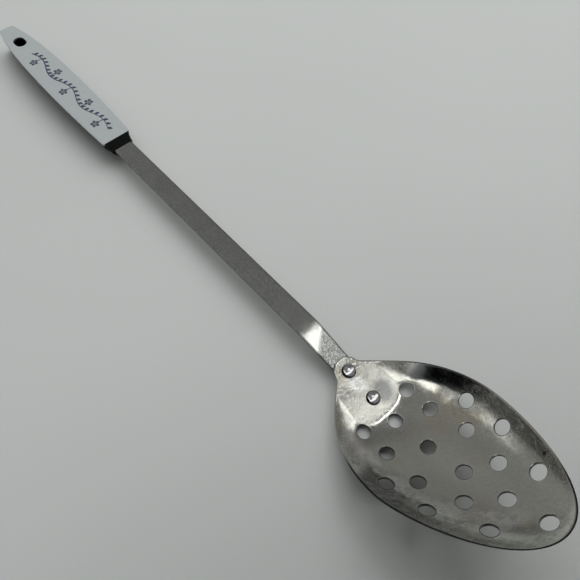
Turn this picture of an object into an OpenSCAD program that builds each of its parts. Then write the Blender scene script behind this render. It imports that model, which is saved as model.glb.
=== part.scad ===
// Perforated serving spoon: a pressed bowl riveted to a flat strap, which runs into a moulded
// handle with a pale facing and a hanging hole. All lengths are in millimetres.
// X runs from the far end of the handle to the tip of the bowl, counted from the middle of the
// spoon, and Z is up. It lies as on a table, on the front rivet's tail and the handle.

/* [Bowl] */
// Rear rivet to the tip of the bowl
bowl_l = 85.4; // [74:0.1:100]
// Widest part of the bowl, over the rim
bowl_w = 59.3; // [50:0.1:70]
// Rear rivet to the widest part
bowl_widest = 40; // [34:0.5:46]
// Height of the tip above the table
tip_z = 41; // [30:0.5:48]
// Sheet thickness
sheet_t = 0.9; // [0.7:0.1:1.2]
// Drain hole diameter
drain_d = 5.9; // [4:0.1:6.6]

/* [Riveting land] */
// Radius of the round tab that covers the end of the strap
tab_r = 5.8; // [5.2:0.1:6.6]
// Width of the flat land at its front
land_w = 26.4; // [22:0.1:29]
// Rear rivet to the crease where the land meets the bowl
land_l = 22.3; // [20:0.1:24]
// Softness of the creases round the land, as a height
crease_h = 0.15; // [0.05:0.05:0.3]
// Distance between the two rivets
rivet_gap = 14; // [11:0.5:15]

/* [Strap] */
// Width
strap_w = 9.7; // [8:0.1:10.2]
// Thickness
strap_t = 1.4; // [1:0.1:1.6]
// Height of its level stretch above the table, at the top face
strap_z = 9.2; // [9:0.1:9.4]
// Width of the neck under the tab
neck_w = 8.7; // [7:0.1:9.6]
// Collar of the handle to the bend
shank_l = 136.4; // [90:0.5:200]
// Bend to the rear rivet
neck_l = 23.6; // [20:0.5:25]
// Downward angle of the neck, in degrees
neck_angle = 10.2; // [9:0.1:10.3]
// Inner radius of the bend
bend_r = 40; // [20:1:60]
// Length inside the handle
tang_l = 62; // [40:1:75]

/* [Rivets] */
// Diameter of the shank
rivet_d = 3.2; // [2.6:0.1:3.8]
// Diameter of the domed head
head_d = 6; // [5:0.1:7]
// Height of the domed head
head_h = 1.5; // [1:0.1:2]
// Diameter of the closed tail
tail_d = 4.8; // [4.2:0.1:5.4]
// Height of the closed tail
tail_h = 0.6; // [0.4:0.1:0.7]

/* [Handle] */
// Collar to the far end
handle_l = 117.5; // [100:0.5:140]
// Widest part
handle_w = 18.2; // [15:0.1:22]
// Width at the far end
end_w = 8.6; // [7:0.1:11]
// Radius of the corners of the far end, in plan
end_r = 1.2; // [0.6:0.1:2]
// Width where the facing meets the collar
front_w = 15.4; // [13.5:0.1:18]
// Length of the collar past the facing
collar_l = 4.8; // [3.5:0.1:7]
// Width of the collar's nose
nose_w = 10.6; // [10.6:0.1:12.6]
// Swell of the collar on each side, just behind its nose
nose_swell = 0.9; // [0.4:0.1:1.2]
// Height of the collar's nose over the strap
nose_h = 0.4; // [0.3:0.05:0.8]
// Length of the steeper step at the nose
nose_l = 1.3; // [0.8:0.1:2]
// Rounding of the facing's front corners, in plan
front_r = 0.8; // [0.5:0.1:1.5]
// Height of the crest of the facing above the table
crest_z = 12.9; // [12.6:0.1:15]
// Far end to the crest
crest_l = 33; // [20:1:45]
// Radius of the lengthwise arch of the facing
arch_r = 1700; // [1500:10:3000]
// Radius of the lengthwise arch of the underside
belly_r = 1620; // [1300:10:3000]
// Far end to the place where the underside touches the table
rest_l = 16; // [8:1:30]
// Thickness of the facing
facing_t = 1.2; // [0.8:0.1:1.5]
// Bevel on the upper edge of the facing
bevel = 0.5; // [0.2:0.1:0.7]
// Width of the oblong hanging hole
hang_w = 6.2; // [5:0.1:6.8]
// Length of the hanging hole
hang_l = 8.6; // [7:0.1:12]
// Far end to the centre of the hanging hole
hang_x = 16.6; // [13:0.1:20]

/* [Fits] */
// Clearance round the strap in its slot, on each side
slot_gap = 0.05; // [0.02:0.01:0.1]
// Clearance round a rivet in its holes, on the radius
hole_gap = 0.05; // [0.02:0.01:0.1]
// Gap between faces that are pressed together
seat = 0.02; // [0.01:0.01:0.05]

/* [Hidden] */
$fn = 64;
// Overrun of every cut past the face that it opens
over = 1;

// Places along X
spoon_l = handle_l + shank_l + neck_l + bowl_l;
end_x = -spoon_l / 2;
collar_x = end_x + handle_l;
facing_x = collar_x - collar_l;
bend_x = collar_x + shank_l;
rear_x = bend_x + neck_l;
tip_x = rear_x + bowl_l;

// The neck's plane: the strap's top face past the bend, and the land one sheet above it
slope = tan(neck_angle);
function land_z(x) = strap_z - slope * (x - bend_x) + (sheet_t + seat) / cos(neck_angle);
module on_neck(along) {
    translate([bend_x, 0, strap_z]) rotate([0, neck_angle, 0]) translate([along, 0, 0]) children();
}
rear_u = neck_l / cos(neck_angle);
front_u = (neck_l + rivet_gap) / cos(neck_angle);

function smooth(t) = let (k = max(0, min(1, t))) k * k * (3 - 2 * k);
function curve(p, t) =
    pow(1 - t, 3) * p[0] + 3 * pow(1 - t, 2) * t * p[1] + 3 * (1 - t) * t * t * p[2] + pow(t, 3) * p[3];

// Half outline of the bowl in plan: round tab, hollow shoulder, then an egg.
// The headings are measured from the axis, where the tab ends and where the shoulder ends.
tab_heading = 16;
flare = 52;
hollow_share = 0.58;
egg_arm_shares = [0.415, 0.457, 0.248, 0.644];
tab_steps = 6;
hollow_steps = 3;
egg_steps = 18;
hollow_r = hollow_share * tab_r;
hollow_c = [rear_x - (tab_r + hollow_r) * sin(tab_heading), (tab_r + hollow_r) * cos(tab_heading)];
flare_start = hollow_c + hollow_r * [sin(flare), -cos(flare)];
widest = [rear_x + bowl_widest, bowl_w / 2];
shoulder_curve = [
    flare_start,
    flare_start + egg_arm_shares[0] * bowl_widest * [cos(flare), sin(flare)],
    widest - [egg_arm_shares[1] * bowl_widest, 0],
    widest
];
nose_curve = [
    widest,
    widest + [egg_arm_shares[2] * (bowl_l - bowl_widest), 0],
    [tip_x, egg_arm_shares[3] * bowl_w / 2],
    [tip_x, 0]
];
half_outline = concat(
    [for (i = [0 : tab_steps])
        let (a = (90 - tab_heading) * i / tab_steps) [rear_x - tab_r * cos(a), tab_r * sin(a)]],
    [for (i = [1 : hollow_steps])
        let (a = tab_heading + (flare - tab_heading) * i / hollow_steps)
            hollow_c + hollow_r * [sin(a), -cos(a)]],
    [for (i = [1 : egg_steps]) curve(shoulder_curve, i / egg_steps)],
    [for (i = [1 : egg_steps]) curve(nose_curve, i / egg_steps)]
);
function half_w(x) = lookup(x, half_outline);

// Side view of the bowl's upper face: the centre line leaves the land level and climbs to the
// tip, and the rim leaves the land early and climbs to the tip with less of a curve.
climb_steps = 36;
climb_shares = [0.25, 0.17, 0.44];
rim_start_share = 0.045;
rim_shares = [0.12, 0.34, 0.4];
land_x = rear_x + land_l;
lowest = [land_x, land_z(land_x)];
climb = [tip_x - lowest[0], tip_z - lowest[1]];
tip = [tip_x, tip_z];
rim_start = [rear_x + rim_start_share * bowl_l, land_z(rear_x + rim_start_share * bowl_l)];
climb_curve = [
    lowest,
    lowest + [climb_shares[0] * climb[0], 0],
    tip - [climb_shares[1] * climb[0], climb_shares[2] * climb[1]],
    tip
];
rim_curve = [
    rim_start,
    rim_start + rim_shares[0] * bowl_l * [1, -slope],
    tip - [rim_shares[1] * bowl_l, rim_shares[2] * tip_z],
    tip
];
centre_points = [for (i = [0 : climb_steps]) curve(climb_curve, i / climb_steps)];
rim_points = [for (i = [0 : climb_steps]) curve(rim_curve, i / climb_steps)];
function centre_z(x) = lookup(x, centre_points);
function rim_z(x) = x < rim_start[0] ? land_z(x) : lookup(x, rim_points);

// Across the bowl the face is a dish, which climbs from the centre line towards the rim as a
// power curve and goes on straight from there. The land is a flat with walls of its own, a little
// narrower at the back, and it stands where it is higher than the dish. The crease between the
// two is softened, but not at the rim.
land_rear_share = 0.74;
most_flat_share = 0.98;
land_power = 1.15;
dish_shares = [0.26, 0.4];
dish_powers = [3, 2.45];
curved_share = 0.88;
function land_half(x) = land_w / 2 * (land_rear_share + (1 - land_rear_share) * (x - rear_x) / land_l);
function dish_power(x) =
    dish_powers[0] + (dish_powers[1] - dish_powers[0])
    * smooth(((x - rear_x) / bowl_l - dish_shares[0]) / (dish_shares[1] - dish_shares[0]));
function land_face(x, share) =
    let (
        flat = half_w(x) <= land_half(x) ? most_flat_share
            : min(most_flat_share, land_half(x) / half_w(x)),
        wall = max(0, (abs(share) - flat) / (1 - flat))
    )
    land_z(x) + (rim_z(x) - land_z(x)) * pow(wall, land_power);
function dish_rise(share, power) =
    let (curved = min(share, curved_share), past = max(0, share - curved_share))
    pow(curved, power) + power * pow(curved_share, power - 1) * past;
function dish_face(x, share) =
    let (rise = dish_rise(abs(share), dish_power(x)) / dish_rise(1, dish_power(x)))
    centre_z(x) + (rim_z(x) - centre_z(x)) * rise;
function skin_z(x, share) =
    let (land = land_face(x, share), dish = dish_face(x, share), soft = crease_h * (1 - share * share))
    (land + dish + norm([land - dish, soft])) / 2;

// The sheet is a grid of points on the upper face and the same grid below it. The drop from one
// to the other is longer where the face is steep, so that the sheet keeps its thickness, and
// the rim is trimmed upright.
columns = 24;
rows = len(half_outline) - 2;
function share_at(j) = 2 * j / columns - 1;
face_grid = [for (i = [0 : rows + 1]) [for (j = [0 : columns])
    let (p = half_outline[i]) [p[0], share_at(j) * p[1], skin_z(p[0], share_at(j))]]];
function unit(v) = v / norm(v);
function face_normal(i, j) = unit(cross(
    face_grid[i + 1][j] - face_grid[i - 1][j],
    face_grid[i][min(columns, j + 1)] - face_grid[i][max(0, j - 1)]
));
function below(p, normal) = p - [0, 0, sheet_t / normal[2]];
middle = columns / 2;
layer = rows * (columns + 1);
function top_id(i, j) = (i - 1) * (columns + 1) + j;
function under_id(i, j) = layer + top_id(i, j);
tab_id = 2 * layer;
tip_id = tab_id + 2;
sheet_points = concat(
    [for (i = [1 : rows]) each face_grid[i]],
    [for (i = [1 : rows]) for (j = [0 : columns]) below(face_grid[i][j], face_normal(i, j))],
    [face_grid[0][0], below(face_grid[0][0], face_normal(1, middle))],
    [face_grid[rows + 1][0], below(face_grid[rows + 1][0], face_normal(rows, middle))]
);
sheet_faces = concat(
    [for (i = [1 : rows - 1]) for (j = [0 : columns - 1]) each [
        [top_id(i, j), top_id(i, j + 1), top_id(i + 1, j + 1)],
        [top_id(i, j), top_id(i + 1, j + 1), top_id(i + 1, j)],
        [under_id(i, j), under_id(i + 1, j + 1), under_id(i, j + 1)],
        [under_id(i, j), under_id(i + 1, j), under_id(i + 1, j + 1)]
    ]],
    [for (j = [0 : columns - 1]) each [
        [tab_id, top_id(1, j + 1), top_id(1, j)],
        [tab_id + 1, under_id(1, j), under_id(1, j + 1)],
        [tip_id, top_id(rows, j), top_id(rows, j + 1)],
        [tip_id + 1, under_id(rows, j + 1), under_id(rows, j)]
    ]],
    [for (i = [1 : rows - 1]) each [
        [top_id(i, columns), under_id(i, columns), under_id(i + 1, columns)],
        [top_id(i, columns), under_id(i + 1, columns), top_id(i + 1, columns)],
        [top_id(i, 0), under_id(i + 1, 0), under_id(i, 0)],
        [top_id(i, 0), top_id(i + 1, 0), under_id(i + 1, 0)]
    ]],
    [
        [tab_id, tab_id + 1, under_id(1, columns)], [tab_id, under_id(1, columns), top_id(1, columns)],
        [tab_id, under_id(1, 0), tab_id + 1], [tab_id, top_id(1, 0), under_id(1, 0)],
        [top_id(rows, columns), under_id(rows, columns), tip_id + 1],
        [top_id(rows, columns), tip_id + 1, tip_id],
        [top_id(rows, 0), tip_id + 1, under_id(rows, 0)], [top_id(rows, 0), tip_id, tip_id + 1]
    ]
);

// Drain holes as shares of the bowl's length from the rear rivet and of its half width.
// Every hole off the centre line has a twin on the other side.
drain_shares = [
    [0.244, 0.421], [0.306, 0], [0.381, 0.422], [0.466, 0.756], [0.486, 0], [0.551, 0.461],
    [0.64, 0.693], [0.651, 0], [0.719, 0.319], [0.832, 0.44], [0.818, 0], [0.947, 0]
];
drains = [for (s = drain_shares) each [
    for (side = s[1] == 0 ? [1] : [-1, 1]) [rear_x + s[0] * bowl_l, side * s[1] * bowl_w / 2]]];
module at_drain(p) {
    step = sheet_t / 2;
    z = skin_z(p[0], p[1] / half_w(p[0]));
    dx = skin_z(p[0] + step, p[1] / half_w(p[0] + step)) - skin_z(p[0] - step, p[1] / half_w(p[0] - step));
    dy = skin_z(p[0], (p[1] + step) / half_w(p[0])) - skin_z(p[0], (p[1] - step) / half_w(p[0]));
    normal = unit([-dx, -dy, 2 * step]);
    translate([p[0], p[1], z]) rotate([0, acos(normal[2]), atan2(normal[1], normal[0])]) children();
}
module rivet_hole(along) {
    on_neck(along) cylinder(h = 2 * (sheet_t + strap_t + over), d = rivet_d + 2 * hole_gap, center = true);
}

module bowl() {
    color("silver") difference() {
        polyhedron(sheet_points, sheet_faces, convexity = 8);
        for (p = drains) at_drain(p) cylinder(h = drain_d, d = drain_d, center = true);
        rivet_hole(rear_u);
        rivet_hole(front_u);
    }
}

// The strap: level from the tang to the bend, then down the neck to a round end under the land
bend_steps = 12;
module strap() {
    bend_run = (bend_r + strap_t) * tan(neck_angle / 2);
    bend_c = [bend_x - bend_run, strap_z - strap_t - bend_r];
    function bend_point(r, a) = bend_c + r * [sin(a), cos(a)];
    function bend_arc(r) = [for (i = [0 : bend_steps]) bend_point(r, neck_angle * i / bend_steps)];
    neck_end = neck_l + rivet_gap + strap_w;
    fall = neck_end * [1, -slope];
    color("slategray") difference() {
        intersection() {
            translate([0, strap_w / 2, 0]) rotate([90, 0, 0]) linear_extrude(strap_w) polygon(concat(
                [[collar_x - tang_l, strap_z]],
                bend_arc(bend_r + strap_t),
                [[bend_x, strap_z] + fall, [bend_x, strap_z - strap_t / cos(neck_angle)] + fall],
                [for (i = [bend_steps : -1 : 0]) bend_arc(bend_r)[i]],
                [[collar_x - tang_l, strap_z - strap_t]]
            ));
            union() {
                translate([collar_x - tang_l, -strap_w / 2, 0])
                    cube([tang_l + shank_l, strap_w, strap_z + over]);
                on_neck(0) translate([0, 0, -strap_t - over]) linear_extrude(strap_t + 2 * over) {
                    polygon([
                        [0, -strap_w / 2], [rear_u - tab_r, -neck_w / 2], [front_u, -neck_w / 2],
                        [front_u, neck_w / 2], [rear_u - tab_r, neck_w / 2], [0, strap_w / 2]
                    ]);
                    translate([front_u, 0]) circle(d = neck_w);
                }
            }
        }
        rivet_hole(rear_u);
        rivet_hole(front_u);
    }
}

// A rivet: domed head on the land, shank through sheet and strap, closed tail underneath
module rivet() {
    grip = sheet_t + strap_t + seat;
    dome_r = (pow(head_d / 2, 2) + pow(head_h, 2)) / (2 * head_h);
    color("gainsboro") translate([0, 0, sheet_t + seat]) rotate_extrude() {
        translate([0, seat]) intersection() {
            translate([0, head_h - dome_r]) circle(dome_r, $fn = 128);
            square([head_d / 2, head_h]);
        }
        translate([0, -grip - seat]) square([rivet_d / 2, grip + 2 * seat]);
        translate([0, -grip - seat - tail_h]) square([tail_d / 2, tail_h]);
    }
}
module rear_rivet() {
    on_neck(rear_u) rivet();
}
module front_rivet() {
    on_neck(front_u) rivet();
}

// Half outline of the grip in plan, from the far end to the front of the facing
grip_l = handle_l - collar_l;
grip_shares = [0.19, 1.06, 0.62, 1.12];
grip_corner = 76;
grip_steps = 20;
corner_steps = 4;
function end_corner(a) = [end_x + end_r * (1 - cos(a)), end_w / 2 - end_r * (1 - sin(a))];
function front_corner(a) = [facing_x - front_r * (1 - sin(a)), front_w / 2 - front_r * (1 - cos(a))];
grip_curve = [
    end_corner(grip_corner),
    [end_x + grip_shares[0] * grip_l, grip_shares[1] * handle_w / 2],
    [end_x + grip_shares[2] * grip_l, grip_shares[3] * handle_w / 2],
    front_corner(0)
];
grip_outline = concat(
    [for (i = [0 : corner_steps]) end_corner(grip_corner * i / corner_steps)],
    [for (i = [1 : grip_steps]) curve(grip_curve, i / grip_steps)],
    [for (i = [1 : corner_steps]) front_corner(90 * i / corner_steps)]
);
function arch_z(x) = crest_z - pow(x - end_x - crest_l, 2) / (2 * arch_r);
function belly_z(x) =
    pow(x - end_x - rest_l, 2) / (2 * belly_r) + max(0, end_r - (x - end_x)) * (end_r - (x - end_x)) / end_r;

// A closed skin over rings of points that stand one behind another along X
module loft(rings) {
    n = len(rings[0]);
    last = len(rings) - 1;
    polyhedron(
        [for (ring = rings) each ring],
        concat(
            [[for (k = [0 : n - 1]) k]],
            [[for (k = [n - 1 : -1 : 0]) last * n + k]],
            [for (i = [0 : last - 1]) for (k = [0 : n - 1]) let (m = (k + 1) % n) each [
                [i * n + k, (i + 1) * n + k, (i + 1) * n + m],
                [i * n + k, (i + 1) * n + m, i * n + m]
            ]]
        ),
        convexity = 4
    );
}
// One ring from a half profile of Y and Z, listed from the bottom to the top
function ring(x, half) = concat(
    [for (p = half) [x, p[0], p[1]]],
    [for (i = [len(half) - 1 : -1 : 0]) [x, -half[i][0], half[i][1]]]
);
// Half section of the body: a flat that rests on the table, a belly that leans in under the
// widest place, and a top edge. Widths are half widths.
belly_steps = 7;
belly_shares = [0.3, 0.5, 0.12, 0.45];
function body_half(low, wide, wide_z, top, top_z) =
    let (
        flat = belly_shares[0] * wide,
        side = wide_z - low,
        belly = [
            [flat, low],
            [flat + belly_shares[1] * (wide - flat), low],
            [wide - belly_shares[2] * side, wide_z - belly_shares[3] * side],
            [wide, wide_z]
        ]
    )
    concat([for (i = [0 : belly_steps]) curve(belly, i / belly_steps)], [[top, top_z]]);
module body_skin() {
    nose = nose_w / 2;
    step_x = collar_x - nose_l;
    loft(concat(
        [for (p = grip_outline) let (z = arch_z(p[0]))
            ring(p[0], body_half(belly_z(p[0]), p[1], z - facing_t, p[1], z))],
        [ring(step_x, body_half(belly_z(step_x) + nose_h, nose + nose_swell, strap_z - strap_t, nose,
            strap_z + 2 * nose_h))],
        [ring(collar_x, body_half(belly_z(collar_x) + nose_l, nose, strap_z - strap_t, nose,
            strap_z + nose_h))]
    ));
}
// The space that the facing fills, open above and at the far end
module facing_pocket() {
    function floor_z(x) = arch_z(x) - facing_t - seat;
    stations = concat([end_x - over], [for (p = grip_outline) p[0]], [facing_x + seat]);
    loft([for (x = stations)
        ring(x, [[handle_w, floor_z(max(end_x, min(facing_x, x)))], [handle_w, crest_z + over]])]);
}
module hang_hole() {
    reach = (hang_l - hang_w) / 2;
    translate([end_x + hang_x, 0, -over]) {
        for (side = [-1, 1])
            translate([side * reach, 0, 0]) cylinder(h = crest_z + 2 * over, d = hang_w);
        translate([-reach, -hang_w / 2, 0]) cube([2 * reach, hang_w, crest_z + 2 * over]);
    }
}
module handle_body() {
    slot_l = tang_l + slot_gap + over;
    slot_w = strap_w + 2 * slot_gap;
    slot_h = strap_t + 2 * slot_gap;
    color("#1c1c1e") difference() {
        body_skin();
        facing_pocket();
        translate([collar_x - tang_l - slot_gap, -slot_w / 2, strap_z - strap_t - slot_gap])
            cube([slot_l, slot_w, slot_h]);
        hang_hole();
    }
}
module handle_facing() {
    function face_half(w, x, drop) = [
        [w, arch_z(x) - facing_t], [w, arch_z(x) - bevel - drop], [w - bevel, arch_z(x) - drop]];
    color("whitesmoke") difference() {
        loft([for (p = grip_outline)
            let (reach = min(p[0] - end_x, facing_x - p[0]), drop = max(0, bevel - reach) / 2)
                ring(p[0], face_half(p[1], p[0], drop))]);
        hang_hole();
    }
}

bowl();
strap();
rear_rivet();
front_rivet();
handle_body();
handle_facing();
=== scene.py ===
"""Perforated serving spoon in steel and plastic, dressed for the camera.

Lengths are in millimetres until a piece is finished, which scales it to metres. X runs from the
far end of the handle to the tip of the bowl and Z is up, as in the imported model.
"""

import math

import bmesh
import bpy
import numpy as np
from mathutils import Matrix, Vector


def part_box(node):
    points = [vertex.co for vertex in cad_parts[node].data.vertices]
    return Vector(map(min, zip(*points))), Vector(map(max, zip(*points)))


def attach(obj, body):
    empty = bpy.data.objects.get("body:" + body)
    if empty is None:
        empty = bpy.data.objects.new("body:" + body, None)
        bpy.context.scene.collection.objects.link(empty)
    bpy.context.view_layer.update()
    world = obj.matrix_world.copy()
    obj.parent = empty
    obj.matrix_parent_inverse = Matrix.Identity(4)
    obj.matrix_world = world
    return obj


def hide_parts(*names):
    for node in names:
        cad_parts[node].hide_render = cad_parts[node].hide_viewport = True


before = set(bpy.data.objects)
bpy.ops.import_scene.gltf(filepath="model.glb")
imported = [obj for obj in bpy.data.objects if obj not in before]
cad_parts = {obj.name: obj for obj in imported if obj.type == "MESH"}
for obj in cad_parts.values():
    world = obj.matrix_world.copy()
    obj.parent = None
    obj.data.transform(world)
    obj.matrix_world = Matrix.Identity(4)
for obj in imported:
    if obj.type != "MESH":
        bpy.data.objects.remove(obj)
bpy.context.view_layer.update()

MM = 0.001
MERGE = 0.0005


def span(node):
    """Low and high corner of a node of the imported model."""
    low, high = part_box(node)
    return low / MM, high / MM


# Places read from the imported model
END_X = span("handle_body")[0].x
COLLAR_X = span("handle_body")[1].x
FACING_X = span("handle_facing")[1].x
TANG_X = span("strap")[0].x
STRAP_W = span("strap")[1].y * 2
TIP_X = span("bowl")[1].x
TIP_Z = span("bowl")[1].z
BOWL_W = span("bowl")[1].y * 2

# Sizes of the bowl
TAB_R = 5.8
REAR_X = span("bowl")[0].x + TAB_R
BOWL_L = TIP_X - REAR_X
WIDEST = 40
SHEET = 0.9
DRAIN_R = 2.95
RIM_ROUND = 0.14

# The flat land: its width at the rear as a share of LAND_W, the largest share of a section that
# it may take, and the power of the rise beside it
LAND_W, LAND_L = 26.4, 22.3
LAND_X = REAR_X + LAND_L
LAND_REAR = 0.74
LAND_LIMIT = 0.98
WALL_POWER = 1.15
CREASE_H = 0.15

# The dish: a section follows a power of the share of its half width up to the knee, and is
# straight past it. The power changes over a run from a share of the bowl's length
KNEE = 0.88
REAR_POWER, FRONT_POWER = 3, 2.45
POWER_FROM, POWER_RUN = 0.26, 0.14

# Sizes of the strap and the rivets
STRAP_T = 1.4
STRAP_Z = 9.2
STRAP_ROUND = 0.28
NECK_W, NECK_L = 8.7, 23.6
NECK_TURN = math.radians(10.2)
BEND_R = 40
RIVET_GAP = 14
RIVET_R = 1.6
HEAD_R, HEAD_H = 3.0, 1.5
TAIL_R, TAIL_H = 2.4, 0.6
HOLE_GAP = 0.05
SEAT = 0.02

BEND_X = REAR_X - NECK_L
SLOPE = math.tan(NECK_TURN)
REAR_U = NECK_L / math.cos(NECK_TURN)
FRONT_U = (NECK_L + RIVET_GAP) / math.cos(NECK_TURN)


# Curves

def bezier(points, steps=60):
    """Points of a cubic curve, from its four control points."""
    t = np.linspace(0, 1, steps + 1)[:, None]
    a, b, c, d = (np.array(p, float) for p in points)
    return (1 - t) ** 3 * a + 3 * (1 - t) ** 2 * t * b + 3 * (1 - t) * t * t * c + t ** 3 * d


def arc(centre, radius, start, stop, steps):
    """Points of an arc, its angles in degrees from +X."""
    turn = np.radians(np.linspace(start, stop, steps + 1))
    return np.array(centre) + radius * np.stack([np.cos(turn), np.sin(turn)], 1)


def chain(*runs):
    """One row of points from runs that meet end to end."""
    rest = [np.asarray(run)[1:] for run in runs[1:]]
    return np.concatenate([np.asarray(runs[0])] + rest)


def follow(points, x):
    """Second coordinate of a row of points at a place along the first."""
    return np.interp(x, points[:, 0], points[:, 1])


def ease(t):
    """Smooth step from 0 to 1."""
    k = np.clip(t, 0, 1)
    return k * k * (3 - 2 * k)


# The bowl's shape

def bowl_outline():
    """Half outline in plan: round tab, hollow shoulder, then an egg."""
    # In degrees, how far the tab's arc goes past its side, and the heading out of the hollow
    past, flare = 16, 52
    turn, lean = math.radians(past), math.radians(flare)
    hollow_r = 0.58 * TAB_R
    reach = TAB_R + hollow_r
    hollow_c = (REAR_X - reach * math.sin(turn), reach * math.cos(turn))
    start = np.array(hollow_c) + hollow_r * np.array([math.sin(lean), -math.cos(lean)])
    widest = np.array([REAR_X + WIDEST, BOWL_W / 2])
    shoulder = [
        start,
        start + 0.415 * WIDEST * np.array([math.cos(lean), math.sin(lean)]),
        widest - [0.457 * WIDEST, 0],
        widest,
    ]
    nose = [
        widest,
        widest + [0.248 * (BOWL_L - WIDEST), 0],
        (TIP_X, 0.644 * BOWL_W / 2),
        (TIP_X, 0),
    ]
    return chain(
        arc((REAR_X, 0), TAB_R, 180, 90 + past, 30),
        arc(hollow_c, hollow_r, past - 90, flare - 90, 12),
        bezier(shoulder),
        bezier(nose, 90),
    )


def land_z(x):
    """Height of the land, which slopes as the neck of the strap does."""
    return STRAP_Z - SLOPE * (x - BEND_X) + (SHEET + SEAT) / math.cos(NECK_TURN)


def centre_line():
    """Side view along the middle, from the front of the land up to the tip."""
    low = np.array([LAND_X, land_z(LAND_X)])
    climb = np.array([TIP_X, TIP_Z]) - low
    return bezier([
        low,
        low + [0.25 * climb[0], 0],
        (TIP_X - 0.17 * climb[0], TIP_Z - 0.44 * climb[1]),
        (TIP_X, TIP_Z),
    ], 90)


def rim_line():
    """Side view along the rim, from the land up to the tip."""
    start_x = REAR_X + 0.045 * BOWL_L
    start = np.array([start_x, land_z(start_x)])
    return bezier([
        start,
        start + 0.12 * BOWL_L * np.array([1, -SLOPE]),
        (TIP_X - 0.34 * BOWL_L, TIP_Z - 0.4 * TIP_Z),
        (TIP_X, TIP_Z),
    ], 90)


OUTLINE = bowl_outline()
CENTRE = centre_line()
RIM = rim_line()


def half_width(x):
    return follow(OUTLINE, x)


def skin_z(x, y):
    """Height of the bowl's upper face: a dish, with a flat land where that stands higher."""
    x, y = np.asarray(x, float), np.asarray(y, float)
    half = np.maximum(half_width(x), 1e-4)
    share = np.clip(np.abs(y) / half, 0, 1)
    along = x - REAR_X
    level, centre = land_z(x), follow(CENTRE, x)
    rim = np.where(x < RIM[0, 0], level, follow(RIM, x))
    land_half = LAND_W / 2 * (LAND_REAR + (1 - LAND_REAR) * along / LAND_L)
    flat = np.where(half <= land_half, LAND_LIMIT, np.minimum(LAND_LIMIT, land_half / half))
    wall = np.clip((share - flat) / (1 - flat), 0, 1)
    land = level + (rim - level) * wall ** WALL_POWER
    change = ease((along / BOWL_L - POWER_FROM) / POWER_RUN)
    power = REAR_POWER + (FRONT_POWER - REAR_POWER) * change
    curved, past = np.minimum(share, KNEE), np.maximum(0, share - KNEE)
    slope = power * KNEE ** (power - 1)
    rise = (curved ** power + slope * past) / (KNEE ** power + slope * (1 - KNEE))
    dish = centre + (rim - centre) * rise
    return (land + dish + np.hypot(land - dish, CREASE_H * (1 - share ** 2))) / 2


def skin_normal(x, y, step=0.25):
    """Upward unit normal of the bowl's upper face."""
    dx = (skin_z(x + step, y) - skin_z(x - step, y)) / (2 * step)
    dy = (skin_z(x, y + step) - skin_z(x, y - step)) / (2 * step)
    normal = np.stack([-dx, -dy, np.ones_like(dx)], -1)
    return normal / np.linalg.norm(normal, axis=-1, keepdims=True)


# Drain holes as shares of the bowl's length and half width; those off the middle come in pairs
DRAINS = [
    (0.244, 0.421), (0.306, 0), (0.381, 0.422), (0.466, 0.756), (0.486, 0), (0.551, 0.461),
    (0.64, 0.693), (0.651, 0), (0.719, 0.319), (0.832, 0.44), (0.818, 0), (0.947, 0),
]


# Holes in flat sheets

class RoundHole:
    """A hole whose outline in plan is an ellipse, squeezed along the heading by the lean."""

    def __init__(self, x, y, radius, heading=(1, 0), lean=1.0):
        self.centre = np.array([x, y])
        self.radius = radius
        along = np.array(heading, float) / max(np.hypot(*heading), 1e-9)
        self.axes = np.array([along, [-along[1], along[0]]])
        self.squeeze = np.array([lean, 1])

    def gap(self, points):
        """Distance of points from the hole's edge, less than 0 inside it."""
        local = (np.asarray(points) - self.centre) @ self.axes.T / self.squeeze
        return np.hypot(local[..., 0], local[..., 1]) - self.radius

    def edge(self, share, out):
        """A point at a share of the way round, that far out from the edge."""
        turn = 2 * math.pi * share
        local = (self.radius + out) * np.array([math.cos(turn), math.sin(turn)]) * self.squeeze
        return self.centre + local @ self.axes


class OblongHole:
    """A hole with two round ends, long along X, that answers as a RoundHole does."""

    def __init__(self, x, length, width):
        self.centre = np.array([x, 0.0])
        self.radius = width / 2
        self.reach = (length - width) / 2
        # Shares of the way round are measured on a ring 1 mm outside the edge
        round_run = math.pi * (self.radius + 1)
        self.round_share = round_run / (2 * round_run + 4 * self.reach)

    def gap(self, points):
        away = np.abs(np.asarray(points) - self.centre)
        return np.hypot(np.maximum(away[..., 0] - self.reach, 0), away[..., 1]) - self.radius

    def edge(self, share, out):
        radius = self.radius + out
        part = (share + self.round_share / 2) % 1.0
        side = 1 if part < 0.5 else -1
        part %= 0.5
        if part < self.round_share:
            turn = math.pi * (part / self.round_share - 0.5)
            local = np.array([self.reach + radius * math.cos(turn), radius * math.sin(turn)])
        else:
            run = (part - self.round_share) / (0.5 - self.round_share)
            local = np.array([self.reach * (1 - 2 * run), radius])
        return self.centre + side * local


def plan_key(vert, digits=4):
    """A vertex's place in plan, rounded so that it can be looked up."""
    return tuple(round(c, digits) for c in vert.co.xy)


def walk(edges):
    """Vertices of a closed loop of edges, in order and anticlockwise."""
    left = set(edges)
    first = min(left, key=lambda e: sorted(plan_key(v) for v in e.verts))
    left.discard(first)
    loop = list(first.verts)
    while left:
        step = next((e for e in loop[-1].link_edges if e in left), None)
        if step is None:
            break
        left.discard(step)
        loop.append(step.other_vert(loop[-1]))
    loop = loop[:-1] if loop[-1] == loop[0] else loop
    area = sum(a.co.x * b.co.y - b.co.x * a.co.y for a, b in zip(loop, loop[1:] + loop[:1]))
    return loop if area > 0 else loop[::-1]


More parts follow.
